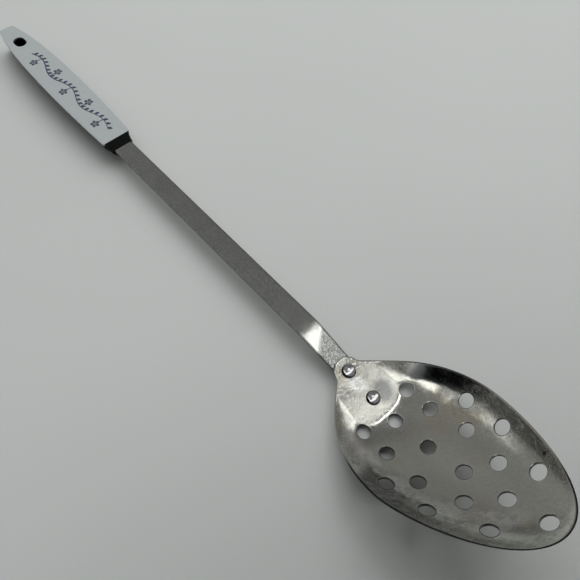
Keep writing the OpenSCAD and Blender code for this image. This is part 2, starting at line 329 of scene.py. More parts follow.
def within(bm, hole, reach):
    """Vertices less than a reach outside the edge of a hole."""
    gaps = hole.gap([v.co.xy for v in bm.verts])
    return [v for v, gap in zip(bm.verts, gaps) if gap < reach]


# Round a hole: how far past its outer ring the sheet is smoothed, and where the inner rings lie
SMOOTH_PAST = 2.2
INNER_RINGS = (0.4, 0.0)


def pierce(bm, hole, clear=0.8, ring=1.1):
    """Opens a hole in a flat sheet and lays clean rings of faces round it."""
    doomed = {f for v in within(bm, hole, clear) for f in v.link_faces}
    border = {e for f in doomed for e in f.edges if any(g not in doomed for g in e.link_faces)}
    bmesh.ops.delete(bm, geom=list(doomed), context="FACES")
    loop = walk(border)
    count = len(loop)
    found = np.array([v.co.xy for v in loop])

    def miss(start):
        wanted = np.array([hole.edge(start + k / count, ring) for k in range(count)])
        return ((wanted - found) ** 2).sum()

    start = min(np.linspace(0, 1, 181)[:-1], key=miss)
    shares = {}
    for k, vert in enumerate(loop):
        share = (start + k / count) % 1.0
        vert.co.xy = hole.edge(share, ring)
        shares[plan_key(vert)] = share
    near = [v for v in within(bm, hole, ring + SMOOTH_PAST) if not v.is_boundary]
    for _ in range(5):
        bmesh.ops.smooth_vert(bm, verts=near, factor=0.5, use_axis_x=True, use_axis_y=True)
    for out in INNER_RINGS:
        grown = bmesh.ops.extrude_edge_only(bm, edges=list(border))["geom"]
        border = [g for g in grown if isinstance(g, bmesh.types.BMEdge)]
        moved = {}
        for vert in (g for g in grown if isinstance(g, bmesh.types.BMVert)):
            share = shares[plan_key(vert)]
            vert.co.xy = hole.edge(share, out)
            moved[plan_key(vert)] = share
        shares = moved


def thicken(bm):
    """Gives a sheet a second layer with walls at its edges, and returns that layer's vertices."""
    layer = bmesh.ops.extrude_face_region(bm, geom=list(bm.faces), use_keep_orig=True)["geom"]
    return [g for g in layer if isinstance(g, bmesh.types.BMVert)]


# Materials

class Number:
    """A shader socket that adds Math nodes when it is used in an expression."""

    def __init__(self, look, socket):
        self.look = look
        self.socket = socket

    def join(self, operation, first, second):
        return self.look.node("ShaderNodeMath", {"operation": operation}, first, second)

    def __add__(self, other):
        return self.join("ADD", self, other)

    def __radd__(self, other):
        return self.join("ADD", other, self)

    def __sub__(self, other):
        return self.join("SUBTRACT", self, other)

    def __rsub__(self, other):
        return self.join("SUBTRACT", other, self)

    def __mul__(self, other):
        return self.join("MULTIPLY", self, other)

    def __rmul__(self, other):
        return self.join("MULTIPLY", other, self)

    def __truediv__(self, other):
        return self.join("DIVIDE", self, other)

    def __pow__(self, other):
        return self.join("POWER", self, other)


class Look:
    """A node tree, with one method that adds any node and short ones for common patterns."""

    def __init__(self, tree):
        self.tree = tree
        self.spot = None

    def node(self, kind, settings=None, *values, out=0, **named):
        made = self.tree.nodes.new(kind)
        for key, value in (settings or {}).items():
            setattr(made, key, value)
        for place, value in enumerate(values):
            if value is not None:
                self.put(made.inputs[place], value)
        self.feed(made, **named)
        return Number(self, made.outputs[out])

    def put(self, socket, value):
        """Links a shader value to a socket, or sets a plain one on it."""
        if isinstance(value, Number):
            self.tree.links.new(value.socket, socket)
        else:
            socket.default_value = value

    def feed(self, made, **named):
        for key, value in named.items():
            self.put(made.inputs[key.replace("_", " ")], value)

    def millimetres(self, stretch=(1, 1, 1), turn=0.0):
        """Object coordinates in millimetres, divided by a stretch along each axis."""
        if self.spot is None:
            self.spot = self.node("ShaderNodeTexCoord", out="Object")
        scale = tuple(s * MM for s in stretch)
        return self.node(
            "ShaderNodeMapping", {"vector_type": "TEXTURE"}, self.spot,
            Rotation=(0, 0, turn), Scale=scale,
        )

    def axis(self, place, letter):
        return self.node("ShaderNodeSeparateXYZ", {}, place, out=letter)

    def far_from(self, place, spot):
        """Distance of a place from a spot."""
        return self.node("ShaderNodeVectorMath", {"operation": "DISTANCE"}, place, spot, out="Value")

    def larger(self, first, second):
        return self.node("ShaderNodeMath", {"operation": "MAXIMUM"}, first, second)

    def cloud(self, size, stretch=(1, 1, 1), turn=0.0, detail=4.0, rough=0.55, shift=0.0):
        """Noise with patches of about a size in millimetres, from 0 to 1."""
        place = self.millimetres(stretch, turn)
        moved = self.node("ShaderNodeVectorMath", {"operation": "ADD"}, place, (shift, shift, shift))
        return self.node(
            "ShaderNodeTexNoise", {}, Vector=moved, Scale=1 / size, Detail=detail, Roughness=rough
        )

    def band(self, value, low, high, bottom=0.0, top=1.0):
        """A value's rise from low to high, as a smooth step from bottom to top."""
        return self.node(
            "ShaderNodeMapRange", {"interpolation_type": "SMOOTHSTEP"}, value, low, high, bottom, top
        )

    def window(self, value, low, risen, falling, high):
        """1 between risen and falling, with smooth steps down to 0 at low and high."""
        return self.band(value, low, risen) * self.band(value, falling, high, 1.0, 0.0)

    def blend(self, amount, first, second):
        unused = [None] * 5
        return self.node("ShaderNodeMix", {"data_type": "RGBA"}, amount, *unused, first, second, out=2)

    def layers(self, colour, *coats):
        """A colour under coats, each an amount and a colour."""
        for amount, coat in coats:
            colour = self.blend(amount, colour, coat)
        return colour

    def mark(self, name):
        """A value that a piece carries at each point of its mesh."""
        return self.node("ShaderNodeAttribute", {"attribute_name": name}, out="Fac")

    def ray(self, fact):
        """A fact about the ray of light that arrives."""
        return self.node("ShaderNodeLightPath", out=fact)

    def bump(self, height, strength, depth):
        return self.node(
            "ShaderNodeBump", {}, Height=height, Strength=strength, Distance=depth * MM
        )


def new_look(name, **constants):
    """A material with its tree and its shader, and the constants set on the shader's sockets."""
    material = bpy.data.materials.new(name)
    material.use_nodes = True
    look = Look(material.node_tree)
    shader = next(n for n in material.node_tree.nodes if n.type == "BSDF_PRINCIPLED")
    look.feed(shader, **constants)
    return material, look, shader


def grey(value):
    return (value, value, value, 1)


def scratch_marks(look, turns, size, length, low, high):
    """Sets of fine straight scratches, one for each heading in degrees."""
    marks = None
    for k, turn in enumerate(turns):
        field = look.cloud(size, (length, 1, 1), math.radians(turn), detail=2, shift=17.0 * k)
        lines = look.band(field, low, high)
        marks = lines if marks is None else marks + lines
    return marks


# Where the bowl's pit, its painted patch of shade and its painted highlight are, and the tone of the
# sheet's edges, darkened as painted shade
PIT = (164.8, 18.9, 30.0)
LAND_SHADE_SPOT = (110.6, 5.3, 3.0)
HIGHLIGHT_SPOT = (102.5, -1.0, 4.6)
CUT_EDGE_SHADE = (0.04, 0.04, 0.038, 1)


def satin_steel():
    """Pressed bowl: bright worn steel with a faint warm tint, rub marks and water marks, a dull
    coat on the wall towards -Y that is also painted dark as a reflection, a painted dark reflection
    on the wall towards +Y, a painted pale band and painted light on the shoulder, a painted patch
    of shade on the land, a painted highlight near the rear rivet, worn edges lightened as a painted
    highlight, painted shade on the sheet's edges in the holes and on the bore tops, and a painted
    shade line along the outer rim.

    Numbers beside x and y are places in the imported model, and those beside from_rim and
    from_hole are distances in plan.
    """
    material, look, shader = new_look("satin_steel", Metallic=1.0)
    from_rim, from_hole, below = look.mark("from_rim"), look.mark("from_hole"), look.mark("below")
    place = look.millimetres()
    x, y = look.axis(place, "X"), look.axis(place, "Y")

    # Wear all over
    mottle = look.cloud(9, detail=5, rough=0.6)
    marks = look.band(look.cloud(5, detail=6, rough=0.68, shift=31), 0.5, 0.62)
    fine = scratch_marks(look, (12, 75, 140), 0.3, 34, 0.6, 0.72)
    tint = look.band(look.cloud(12, detail=4, shift=8), 0.53, 0.7)
    grit = look.band(look.cloud(0.9, (1.8, 1, 1), 0.5, 4, 0.7, 44), 0.35, 0.65)

    # The lower wall: a dull coat also painted dark as a reflection, a painted pale band, painted light
    # on the shoulder, and stains
    lower, front = look.band(y, 2, -8), look.band(x, 121, 131)
    ragged = from_rim + 8 * look.cloud(6, detail=6, rough=0.68, shift=3)
    # Dull coat on the lower wall, partly real and partly painted dark as a reflection
    film_and_reflection = lower * look.band(ragged, 11.8, 10.4) * front * look.band(x, 147, 157, 1.0, 0.5)
    streaks = look.band(look.cloud(3.6, (2.2, 1, 1), 0.6, 6, 0.68, 33), 0.47, 0.57)
    film_and_reflection_tone = look.blend(streaks, (0.09, 0.093, 0.088, 1), (0.19, 0.192, 0.18, 1))
    # Painted pale band above the dull coat, a painted reflection
    pale = look.window(ragged, 11.8, 12.8, 14.5, 17) * lower * front
    stains = look.band(look.cloud(3.4, (1.6, 1, 1), 0.5, 6, 0.7, 21), 0.5, 0.55)
    stains = stains * look.band(ragged, 19, 15) * (0.3 + 0.7 * lower) * front
    # Painted light on the shoulder
    shoulder = look.window(x, 111, 116, 121, 130) * look.band(y, -15, -19)

    # The far wall: a painted dark reflection
    reach = look.band(x, 107, 116, 3.4, 6.2)
    painted_far_reflection = look.band(y, 11, 14) * look.window(x, 105, 115, 128, 142)
    painted_far_reflection = painted_far_reflection * look.band(from_rim + 3 * look.cloud(5, shift=52) - reach, 2.3, 1.0)

    # Single marks: a pit, a painted patch of shade on the land and a painted highlight
    pit = look.band(look.far_from(place, PIT) + 0.7 * look.cloud(0.6, shift=9), 1.5, 1.0)
    # Painted patch of shade on the land
    painted_land_shade = look.band(look.far_from(place, LAND_SHADE_SPOT) + 4 * mottle, 9.0, 4.5)
    # Painted highlight near the rear rivet
    painted_highlight = look.band(look.far_from(place, HIGHLIGHT_SPOT) + 3 * mottle, 6.5, 3.0)

    # Edges of the sheet: worn edges lightened as a painted highlight, painted shade on the edges and
    # bore tops, and a painted shade line along the outer rim
    # Worn edges, lightened as a painted highlight
    worn_edge_and_highlight = look.band(from_hole, 0.9, 0.5) * 0.3 + look.band(from_rim, 0.8, 0.5) * 0.15
    # Edges of the holes and rim, and the bore tops, darkened as painted shade
    under_edge = look.band(from_hole, 0.3, 0.1) + look.band(from_rim, 0.3, 0.1)
    painted_bore_shade = look.band(from_hole, 0.25, 0.1) * look.band(below, 0.0, 0.2, 0.7, 0.0)
    cut_and_shade = look.band(below, 0.0, 0.2) * under_edge + painted_bore_shade
    # Painted shade line along the outer rim towards -Y and round the tip
    outer = look.larger(look.band(y, -6, -14), look.band(x, 164, 174)) * look.band(x, 116, 124)
    line_in = look.band(x, 155, 172, 0.55, 0.38)
    painted_rim_shade = outer * look.band(from_rim - 2 * below - line_in, 0.12, -0.12)

    colour = look.layers(
        (0.60, 0.60, 0.54, 1),
        (tint * 0.75, (0.61, 0.565, 0.44, 1)),
        (grit * 0.22, (0.36, 0.36, 0.345, 1)),
        (marks * 0.25, (0.49, 0.49, 0.47, 1)),
        (film_and_reflection * 0.88, film_and_reflection_tone),
        (painted_far_reflection * 0.96, (0.035, 0.038, 0.04, 1)),
        # Painted light on the shoulder and the pale band, less where rubbed
        ((0.8 * shoulder + 0.6 * pale) * (1 - 0.6 * marks), (0.9, 0.89, 0.84, 1)),
        (painted_land_shade * 0.85, (0.2, 0.205, 0.2, 1)),
        (painted_highlight * 0.8, (0.92, 0.92, 0.9, 1)),
        (stains * 0.5, (0.34, 0.335, 0.31, 1)),
        (worn_edge_and_highlight * 0.5, (0.78, 0.78, 0.76, 1)),
        (cut_and_shade * 0.9, CUT_EDGE_SHADE),
        (painted_rim_shade * 0.96, grey(0.01)),
        (pit * 0.9, (0.02, 0.018, 0.015, 1)),
    )
    rough = 0.07 + 0.1 * mottle + 0.08 * marks + 0.05 * fine + 0.05 * film_and_reflection
    rough = rough + 0.1 * stains + 0.3 * pit + 0.12 * shoulder
    dents = look.cloud(13, detail=2.5, shift=5) * look.band(x, 112, 122, 0.25, 1.0)
    rounding = 0.9 * look.band(from_rim, 0.5, 0.0) + 0.3 * look.band(from_hole, 0.3, 0.0)
    height = dents + 0.03 * fine + 0.03 * marks + 0.012 * grit - rounding
    look.feed(shader, Base_Color=colour, Roughness=rough, Normal=look.bump(height, 1.0, 0.2))
    return material


def strap_steel():
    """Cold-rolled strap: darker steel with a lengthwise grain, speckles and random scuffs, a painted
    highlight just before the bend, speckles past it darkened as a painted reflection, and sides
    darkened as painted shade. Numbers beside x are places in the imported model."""
    material, look, shader = new_look("strap_steel", Metallic=1.0)
    place = look.millimetres()
    x, y, from_side = look.axis(place, "X"), look.axis(place, "Y"), look.mark("from_side")
    grain = look.cloud(0.5, (40, 1, 1), detail=3)
    scuffs = scratch_marks(look, (20, 65, 110, 160), 0.3, 24, 0.6, 0.74)
    patches = look.cloud(11, detail=5, rough=0.6, shift=12)
    speckle = look.cloud(0.55, detail=3, rough=0.7, shift=7)
    past_bend = look.band(x + 0.8 * y + 2.5 * speckle, 79.5, 82)
    # Painted highlight just before the bend
    painted_bend_highlight = look.band(x, 71, 74) * (1 - past_bend)
    # Speckles past the bend, darkened as a painted reflection
    specks = look.band(speckle, 0.42, 0.58)
    speckles_and_painted_shade = look.blend(specks, (0.13, 0.135, 0.13, 1), (0.36, 0.37, 0.35, 1))
    # Sides of the strap darkened as painted shade
    side = look.band(look.mark("below"), 0.15, 0.3) * look.band(from_side, 0.3, 0.1)
    colour = look.layers(
        (0.31, 0.32, 0.30, 1),
        (patches, (0.44, 0.45, 0.42, 1)),
        (look.band(speckle, 0.45, 0.6) * 0.5, (0.6, 0.6, 0.57, 1)),
        (painted_bend_highlight * 0.8, (0.8, 0.8, 0.76, 1)),
        (past_bend * 0.85, speckles_and_painted_shade),
        (side * 0.85, CUT_EDGE_SHADE),
    )
    rough = 0.08 + 0.08 * patches + 0.1 * speckle + 0.05 * grain
    rounding = 8 * look.band(from_side, 0.45, 0.1)
    height = grain * 0.4 + scuffs * 0.3 + speckle * 1.3 - rounding
    look.feed(shader, Base_Color=colour, Roughness=rough, Normal=look.bump(height, 0.8, 0.03))
    return material


def rivet_steel():
    """Rivets: worn to a polish and dulled by handling, with painted shade round their skirts, darkest
    towards -Y.
    """
    material, look, shader = new_look("rivet_steel", Metallic=1.0)
    wear = look.cloud(1.6, detail=5, rough=0.6)
    y = look.axis(look.millimetres(), "Y")
    # Painted shade round the foot of the head, darker towards -Y
    skirt = look.band(look.mark("rise"), 0.8, 0.4) * (0.4 + 0.6 * look.band(y, 0.6, -1.2))
    colour = look.layers(grey(0.5), (wear, grey(0.7)), (skirt * 0.92, grey(0.03)))
    rough = 0.06 + 0.16 * wear
    look.feed(shader, Base_Color=colour, Roughness=rough, Normal=look.bump(wear, 0.6, 0.12))
    return material


def black_plastic():
    """Moulded handle: near black with a fine grain, smoother where it is rubbed."""
    material, look, shader = new_look("black_plastic", Specular_IOR_Level=0.12)
    grain = look.cloud(0.35, detail=3)
    rubbed = look.cloud(14, detail=3, shift=4)
    colour = look.blend(rubbed, grey(0.002), grey(0.004))
    rough = 0.22 + 0.14 * rubbed + 0.08 * grain
    look.feed(shader, Base_Color=colour, Roughness=rough, Normal=look.bump(grain, 0.8, 0.05))
    return material


def pale_plastic():
    """Facing: glossy pale plastic with hairline wear, slight yellowing and painted shade inside the
    hanging hole.
    """
    material, look, shader = new_look("pale_plastic", Specular_IOR_Level=0.5)
    age = look.cloud(26, detail=3, shift=2)
    hairs = scratch_marks(look, (8, 50, 120), 0.25, 26, 0.63, 0.75)
    colour = look.layers(
        (0.37, 0.405, 0.415, 1),
        (age, (0.39, 0.415, 0.415, 1)),
        (hairs * 0.12, (0.3, 0.31, 0.32, 1)),
        # Painted shade inside the hanging hole
        (look.mark("painted_hole_shade"), grey(0.003)),
    )
    rough = 0.2 + 0.12 * age + 0.08 * hairs
    look.feed(shader, Base_Color=colour, Roughness=rough, Normal=look.bump(hairs * -1.0, 0.2, 0.01))
    return material


def slate_ink():
    """Print on the facing: slate blue, a little worn."""
    material, look, shader = new_look("slate_ink", Specular_IOR_Level=0.4)
    wear = look.band(look.cloud(0.7, detail=5, rough=0.65), 0.45, 0.8)
    colour = look.blend(wear * 0.3, (0.045, 0.058, 0.095, 1), (0.2, 0.225, 0.26, 1))
    look.feed(shader, Base_Color=colour, Roughness=0.3 + 0.25 * wear)
    return material


def pale_floor():
    """Plain pale table top."""
    material, look, shader = new_look("pale_floor", Specular_IOR_Level=0.25)
    drift = look.cloud(220, detail=2)
    specks = look.band(look.cloud(3, detail=4, rough=0.7, shift=6), 0.55, 0.8)
    colour = look.layers(
        (0.50, 0.52, 0.505, 1),
        (drift, (0.54, 0.56, 0.545, 1)),
        (specks * 0.03, grey(0.3)),
    )
    look.feed(shader, Base_Color=colour, Roughness=0.5 + 0.1 * specks)
    return material


def dark_card():
    """Dark card, which only casts a shade."""
    material, look, shader = new_look("dark_card", Specular_IOR_Level=0.2)
    fibres = look.cloud(2, detail=4)
    colour = look.blend(fibres, grey(0.02), grey(0.04))
    look.feed(shader, Base_Color=colour, Roughness=0.8 + 0.1 * fibres)
    return material


# Finishing a piece

def add_object(bm, name, material):
    """Makes an object from a mesh in metres, which is used up."""
    mesh = bpy.data.meshes.new(name)
    bm.to_mesh(mesh)
    bm.free()
    mesh.materials.append(material)
    made = bpy.data.objects.new(name, mesh)
    bpy.context.scene.collection.objects.link(made)
    return made


def set_down(bm, name, material, slot, *nodes, sharp=38):
    """Turns a mesh in millimetres into a piece of the spoon. The slot is not used."""
    bmesh.ops.remove_doubles(bm, verts=bm.verts, dist=MERGE)
    bmesh.ops.recalc_face_normals(bm, faces=bm.faces)
    bmesh.ops.scale(bm, vec=(MM, MM, MM), verts=bm.verts)
    piece = add_object(bm, name, material)
    piece.data.shade_smooth()
    piece.data.set_sharp_from_angle(angle=math.radians(sharp))
    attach(piece, "root")
    if nodes:
        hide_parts(*nodes)


def round_edges(bm, edges, width, segments=2):
    bmesh.ops.bevel(
        bm, geom=list(edges), offset=width, offset_type="OFFSET", segments=segments,
        profile=0.5, affect="EDGES", clamp_overlap=True, material=-1,
    )


def steep_edges(bm, degrees=50):
    """Edges whose faces meet at more than an angle."""
    limit = math.radians(degrees)
    return [e for e in bm.edges if len(e.link_faces) == 2 and e.calc_face_angle(0) > limit]


def lay_grid(stations, shares):
    """A flat grid with a row of vertices at each station along X, and their shares as Y."""
    bm = bmesh.new()
    nx, ny = len(stations) - 1, len(shares) - 1
    bmesh.ops.create_grid(bm, x_segments=nx, y_segments=ny, size=1)
    for vert in bm.verts:
        i, j = round((vert.co.x + 1) / 2 * nx), round((vert.co.y + 1) / 2 * ny)
        vert.co = (stations[i], shares[j], 0)
    return bm


# The bowl

def bowl_sheet(cells=118):
    """A square grid bent to the bowl's outline in plan, with no slivers at the ends."""
    tab_x = REAR_X - TAB_R
    bm = bmesh.new()
    bmesh.ops.create_grid(bm, x_segments=cells, y_segments=cells, size=1)
    for vert in bm.verts:
        x, y = vert.co.xy
        u, v = x * math.sqrt(1 - y * y / 2), y * math.sqrt(1 - x * x / 2)
        chord = math.sqrt(max(1 - u * u, 0))
        place = (tab_x + TIP_X + u * (TIP_X - tab_x)) / 2
        share = v / chord if chord > 1e-6 else 0
        vert.co = (place, share * half_width(place), 0)
    return bm


def bore_bowl(bm):
    """Opens the rivet holes and the drain holes, and returns the drain holes."""
    shift = (SHEET + SEAT) * math.sin(NECK_TURN)
    for x in (REAR_X, REAR_X + RIVET_GAP):
        hole = RoundHole(x + shift, 0, RIVET_R + HOLE_GAP, (1, 0), math.cos(NECK_TURN))
        pierce(bm, hole, clear=0.6, ring=0.9)
    drains = []
    for along, across in DRAINS:
        for side in (1, -1) if across else (1,):
            x, y = REAR_X + along * BOWL_L, side * across * BOWL_W / 2
            normal = skin_normal(np.array(x), np.array(y))
            drains.append(RoundHole(x, y, DRAIN_R, (-normal[0], -normal[1]), normal[2]))
            pierce(bm, drains[-1])
    return drains


def from_outline(flat):
    """Distance of places in plan from the bowl's outline."""
    steps = np.linspace(0, len(OUTLINE) - 1, 1600)
    edge = np.stack([np.interp(steps, range(len(OUTLINE)), column) for column in OUTLINE.T], 1)
    near = np.stack([flat[:, 0], np.abs(flat[:, 1])], 1)
    return np.array([np.hypot(*(edge - spot).T).min() for spot in near])


def make_bowl(material):
    """The pressed sheet. Near the rim its lower layer lies straight below the upper one."""
    bm = bowl_sheet()
    drains = bore_bowl(bm)
    flat = np.array([v.co[:2] for v in bm.verts])
    to_hole = np.min([hole.gap(flat) for hole in drains], 0)
    rim_layer = bm.verts.layers.float.new("from_rim")
    hole_layer = bm.verts.layers.float.new("from_hole")
    below_layer = bm.verts.layers.float.new("below")
    heights = skin_z(flat[:, 0], flat[:, 1])
    for vert, z, rim, hole in zip(bm.verts, heights, from_outline(flat), to_hole):
        vert.co.z = z
        vert[rim_layer] = rim
        vert[hole_layer] = hole
    under = thicken(bm)
    flat = np.array([v.co[:2] for v in under])
    normals = skin_normal(flat[:, 0], flat[:, 1])
    to_rim = np.array([v[rim_layer] for v in under])
    upright = ease(1 - to_rim / 3)[:, None]
    drop = np.zeros_like(normals)
    drop[:, 2] = SHEET / normals[:, 2]
    moves = normals * SHEET * (1 - upright) + drop * upright
    for vert, move in zip(under, moves):
        vert.co -= Vector(move)
        vert[below_layer] = 1
    bmesh.ops.recalc_face_normals(bm, faces=bm.faces)
    round_edges(bm, steep_edges(bm), RIM_ROUND)
    set_down(bm, "spoon_bowl", material, "bowl_steel", "bowl")


# Strap and rivets

BEND_OUTER = BEND_R + STRAP_T
BEND_LEAD = BEND_OUTER * math.tan(NECK_TURN / 2)
LEVEL_END = BEND_X - BEND_LEAD


def on_path(run, depth):
    """X and Z of a point on the strap, from its run along the top face and its depth below it."""
    if run <= LEVEL_END:
        return run, STRAP_Z - depth
    turn = min((run - LEVEL_END) / BEND_OUTER, NECK_TURN)
    x = LEVEL_END + (BEND_OUTER - depth) * math.sin(turn)
    z = STRAP_Z - BEND_OUTER + (BEND_OUTER - depth) * math.cos(turn)
    rest = run - LEVEL_END - BEND_OUTER * turn
    return x + rest * math.cos(turn), z - rest * math.sin(turn)


def neck_run(u):
    """Run along the top face of a place that is u past the sharp corner of the bend."""
    return LEVEL_END + BEND_OUTER * NECK_TURN + u - BEND_LEAD


def make_strap(material):
    """The bar, made level and straight and bent last."""
    end_r = NECK_W / 2
    corner, taper_end, end = neck_run(0), neck_run(REAR_U - TAB_R), neck_run(FRONT_U)
    widths = np.array([
        [TANG_X, STRAP_W / 2], [corner, STRAP_W / 2], [taper_end, end_r], [end, end_r]])
    fine_from = BEND_X - 8
    round_turns = np.radians(np.linspace(0, 90, 11)[1:])
    straight = np.concatenate([
        np.linspace(TANG_X, fine_from, 60), np.linspace(fine_from, taper_end, 33)[1:],
        np.linspace(taper_end, end, 30)[1:]])
    stations = np.concatenate([straight, end + end_r * np.sin(round_turns)])
    halves = np.concatenate([
        np.interp(straight, widths[:, 0], widths[:, 1]), end_r * np.cos(round_turns)])
    bm = lay_grid(stations, np.linspace(-1, 1, 13))
    for vert in bm.verts:
        vert.co.y *= halves[int(np.abs(stations - vert.co.x).argmin())]
    for u in (REAR_U, FRONT_U):
        pierce(bm, RoundHole(neck_run(u), 0, RIVET_R + HOLE_GAP), clear=0.45, ring=0.7)
    side_layer = bm.verts.layers.float.new("from_side")
    below_layer = bm.verts.layers.float.new("below")
    for vert in bm.verts:
        vert[side_layer] = float(np.interp(vert.co.x, stations, halves)) - abs(vert.co.y)
    for vert in thicken(bm):
        vert.co.z = -STRAP_T
        vert[below_layer] = 1
    bmesh.ops.remove_doubles(bm, verts=bm.verts, dist=MERGE)
    bmesh.ops.recalc_face_normals(bm, faces=bm.faces)
    round_edges(bm, steep_edges(bm), STRAP_ROUND, 3)
    for vert in bm.verts:
        x, z = on_path(vert.co.x, -vert.co.z)
        vert.co = (x, vert.co.y, z)
    set_down(bm, "spoon_strap", material, "strap_steel", "strap")


def make_rivet(name, u, material, node):
    """Domed head, shank and closed tail, turned from one profile."""
    foot = SHEET + 2 * SEAT
    skirt = 0.14
    # The powers make the dome a little fuller than a round one
    dome = [
        (HEAD_R * math.cos(a) ** 0.86, foot + skirt + (HEAD_H - skirt) * math.sin(a) ** 1.1)
        for a in np.radians(np.linspace(90, 0, 15))]
    dome[0] = (0, foot + HEAD_H)
    under = -STRAP_T - SEAT
    end = under - TAIL_H
    profile = dome + [
        (HEAD_R, foot + 0.05), (HEAD_R - 0.05, foot), (RIVET_R, foot), (RIVET_R, under),
        (TAIL_R - 0.06, under), (TAIL_R, under - 0.06), (TAIL_R, under - 0.25),
        (TAIL_R - 0.2, end + 0.08), (TAIL_R - 0.5, end), (0.9, end + 0.06), (0, end + 0.1)]
    bm = bmesh.new()
    verts = [bm.verts.new((r, 0, z)) for r, z in profile]
    edges = [bm.edges.new(pair) for pair in zip(verts, verts[1:])]
    bmesh.ops.spin(
        bm, geom=verts + edges, cent=(0, 0, 0), axis=(0, 0, 1), dvec=(0, 0, 0),
        angle=2 * math.pi, steps=40, use_merge=True,
    )
    bmesh.ops.remove_doubles(bm, verts=bm.verts, dist=MERGE)
    rise_layer = bm.verts.layers.float.new("rise")
    for vert in bm.verts:
        vert[rise_layer] = (vert.co.z - foot) / HEAD_H if vert.co.z > foot else 1
    bmesh.ops.rotate(bm, cent=(0, 0, 0), matrix=Matrix.Rotation(NECK_TURN, 3, "Y"), verts=bm.verts)
    shift = Vector((BEND_X + u * math.cos(NECK_TURN), 0, STRAP_Z - u * math.sin(NECK_TURN)))
    bmesh.ops.translate(bm, vec=shift, verts=bm.verts)
    set_down(bm, name, material, "rivet_steel", node, sharp=50)


# Handle

END_W, END_R = 8.6, 1.2
FRONT_W, FRONT_R = 15.4, 0.8
HANDLE_W = 18.2
NOSE_W, NOSE_SWELL, NOSE_H, NOSE_L = 10.6, 0.9, 0.4, 1.3
CREST_Z, CREST_L, ARCH_R = 12.9, 33, 1700
BELLY_R, REST_L = 1620, 16
FACING_T = 1.2
HANG = OblongHole(END_X + 16.6, 8.6, 6.2)
FACE_ROUND, MOUTH_ROUND, BODY_ROUND = 0.5, 0.22, 0.16

# Columns of a row of the body, and how far its widest line lies below its top: beside the
# facing and at the step in front of it
AT, TOP_HALF, TOP_Z, WIDE_HALF, WIDE_Z, LOW_Z = range(6)
EDGE_DROP, STEP_DROP = 0.25, 0.9


def grip_outline():
    """Half outline of the facing in plan."""
    length = FACING_X - END_X
    end = arc((END_X + END_R, END_W / 2 - END_R), END_R, 180, 104, 6)
    front = arc((FACING_X - FRONT_R, FRONT_W / 2 - FRONT_R), FRONT_R, 90, 0, 6)
    side = bezier([
        end[-1],
        (END_X + 0.19 * length, 1.06 * HANDLE_W / 2),
        (END_X + 0.62 * length, 1.12 * HANDLE_W / 2),
        front[0],
    ], 96)
    return chain(end, side, front)


GRIP = grip_outline()


def arch_z(x):
    """Height of the facing's top."""
    return CREST_Z - (x - END_X - CREST_L) ** 2 / (2 * ARCH_R)


def belly_z(x):
    """Height of the body's lowest line."""
    lift = max(0, END_R - (x - END_X))
    return (x - END_X - REST_L) ** 2 / (2 * BELLY_R) + lift * lift / END_R


def dense_shares(columns):
    """Shares of the half width from -1 to 1, closer together near the sides."""
    t = np.linspace(-1, 1, columns + 1)
    return np.sign(t) * (1 - (1 - np.abs(t)) ** 1.6)


def make_facing(material):
    """The pale facing, made level and arched last."""
    bm = lay_grid(GRIP[:, 0], np.linspace(-1, 1, 25))
    for vert in bm.verts:
        vert.co.y *= follow(GRIP, vert.co.x)
    pierce(bm, HANG, clear=0.55, ring=0.8)
    boundary = {v for e in bm.edges if e.is_boundary for v in e.verts}
    outline = {plan_key(v, 3) for v in boundary if HANG.gap(v.co.xy) > 0.5}
    # The lower layer inside the hanging hole is marked for painted shade
    hole_layer = bm.verts.layers.float.new("painted_hole_shade")
    for vert in thicken(bm):
        vert.co.z = -FACING_T
        vert[hole_layer] = 1 if HANG.gap(vert.co.xy) < 0.05 else 0
    bmesh.ops.recalc_face_normals(bm, faces=bm.faces)
    top = [e for e in steep_edges(bm) if all(v.co.z > -0.1 for v in e.verts)]
    outer = {e for e in top if all(plan_key(v, 3) in outline for v in e.verts)}
    mouth = [e for e in top if e not in outer]
    round_edges(bm, [e for e in top if e in outer], FACE_ROUND, 3)
    round_edges(bm, [e for e in mouth if e.is_valid], MOUTH_ROUND)
    for vert in bm.verts:
        vert.co.z += float(arch_z(vert.co.x))
    set_down(bm, "handle_face", material, "facing_pale", "handle_facing")


def body_rows():
    """Rows of the body from its end to its collar, in the columns named above."""
    rows = []
    for x, half in GRIP:
        top = arch_z(x) - FACING_T - SEAT
        rows.append((x, half, top, half, top - EDGE_DROP, belly_z(x)))
    half, top = GRIP[-1, 1], arch_z(FACING_X)
    start_x, step_x = FACING_X + SEAT, COLLAR_X - NOSE_L
    nose, nose_z = NOSE_W / 2, STRAP_Z - STRAP_T
    side_z = top - STEP_DROP
    rows.append((start_x, half, top, half + SEAT, side_z, belly_z(FACING_X)))
    for t in np.linspace(0, 1, 8)[1:]:
        x = start_x + (step_x - start_x) * t
        rows.append((
            x, half + (nose - half) * t, top + (STRAP_Z + 2 * NOSE_H - top) * t,
            half + (nose + NOSE_SWELL - half) * t, side_z + (nose_z - side_z) * t,
            belly_z(x) + NOSE_H * t))
    low = belly_z(step_x) + NOSE_H
    for t in np.linspace(0, 1, 5)[1:]:
        swell = NOSE_SWELL * math.sqrt(max(0, 1 - t ** 2.2))
        rows.append((
            step_x + NOSE_L * t, nose, STRAP_Z + NOSE_H * (2 - t), nose + swell, nose_z,
            low + (belly_z(COLLAR_X) + NOSE_L - low) * (1 - math.sqrt(1 - t * t))))
    return rows


